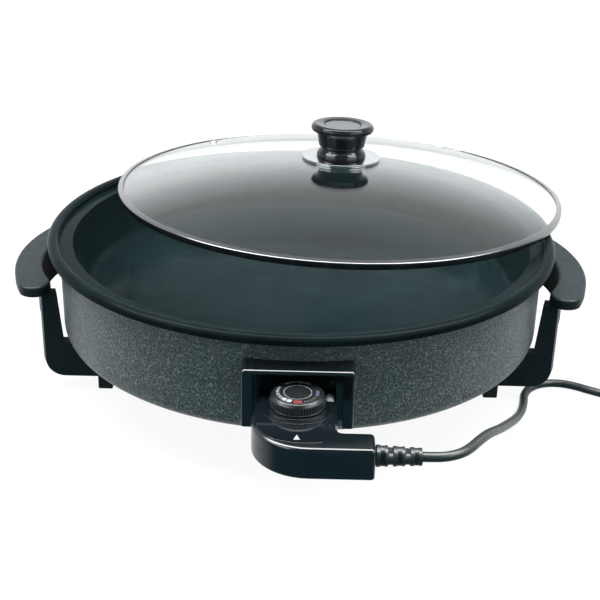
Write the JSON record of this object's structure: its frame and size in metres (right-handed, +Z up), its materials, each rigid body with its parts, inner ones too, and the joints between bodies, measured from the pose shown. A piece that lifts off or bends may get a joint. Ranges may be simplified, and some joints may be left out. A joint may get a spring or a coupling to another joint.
{
  "type": "electric pizza pan",
  "caption": "Round electric pizza pan on two handle brackets with a loose glass lid and a plug-in dial thermostat on a cord.",
  "frame": {"origin": "bottom centre of the box around the part without its cord, on the table plane", "axes": "+Z up, thermostat towards -Y, the cord leaves to +X, handles at +X and -X"},
  "size_m": [0.6275, 0.5639, 0.1915],
  "materials": {
    "non_stick": "satin black non-stick coating",
    "hammered": "grey-black hammered enamel",
    "zinc_sheet": "plain zinc-plated sheet",
    "zinc_steel": "plain zinc-plated steel",
    "element_steel": "heat-darkened steel tube",
    "terminal_steel": "bright nickel-plated steel",
    "ceramic_white": "matt",
    "bakelite_gloss": "glossy black",
    "handle_bakelite": "matt dark grey-black",
    "rubber_foot": "matt",
    "clear_glass": "clear tempered",
    "polished_steel": "polished",
    "knob_bakelite": "satin black",
    "brass": "plain",
    "inlay_grey": "satin grey",
    "silicone_grey": "matt",
    "case_black": "satin black",
    "melamine": "matt cream",
    "blade_metal": "plain",
    "lamp_glass": "clear with orange glow electrodes",
    "lens_grey": "translucent light grey",
    "print_white": "white print",
    "dial_plate": "satin black printed plate",
    "blackened_steel": "blackened screw steel",
    "dial_black": "satin black",
    "cord_black": "matt",
    "plug_black": "satin"
  },
  "bodies": {
    "pan": {"cooking_pan": "non_stick", "outer_shell": "hammered", "base_cover": "zinc_sheet", "standoff_posts": "zinc_steel", "base_screws": "zinc_steel", "heating_element": "element_steel", "element_clips": "zinc_sheet", "terminal_pins": "terminal_steel", "terminal_insulators": "ceramic_white", "probe_guide_tube": "terminal_steel", "terminal_guard": "bakelite_gloss", "guard_screws": "blackened_steel", "left_handle": "handle_bakelite", "right_handle": "handle_bakelite", "handle_screws": "zinc_steel", "handle_nuts": "zinc_steel", "foot_pads": "rubber_foot"},
    "lid": {"lid_glass": "clear_glass", "lid_rim_band": "polished_steel", "vent_grommet": "polished_steel", "knob_saucer": "polished_steel", "knob": "knob_bakelite", "knob_insert": "brass", "knob_inlay": "inlay_grey", "knob_gasket": "silicone_grey", "knob_washer": "zinc_steel", "knob_screw": "zinc_steel"},
    "thermostat": {"control_top": "case_black", "control_base": "case_black", "control_screws": "zinc_steel", "contact_block": "melamine", "contact_sockets": "brass", "probe_rod": "terminal_steel", "switch_frame": "melamine", "bimetal_blade": "blade_metal", "contact_leaf": "brass", "pilot_lamp": "lamp_glass", "pilot_lens": "lens_grey", "pointer_mark": "print_white", "strain_relief": "plug_black", "cord": "cord_black", "cord_coil": "cord_black", "cord_tail": "cord_black", "plug_body": "plug_black", "plug_pins": "terminal_steel"},
    "dial": {"dial_cap": "dial_black", "dial_spindle": "zinc_steel", "dial_scale": "dial_plate"}
  },
  "joints": [
    {"name": "lid_lift", "type": "slide", "parent": "pan", "child": "lid", "axis": [0, 0, 1], "range_m": [0, 0.18]},
    {"name": "control_pull", "type": "slide", "parent": "pan", "child": "thermostat", "axis": [0, -1, 0], "range_m": [0, 0.09]},
    {"name": "dial_turn", "type": "hinge", "parent": "thermostat", "child": "dial", "pos_m": [0, -0.22647, 0.085], "axis": [0, 0, 1], "range_deg": [0, 270]}
  ]
}
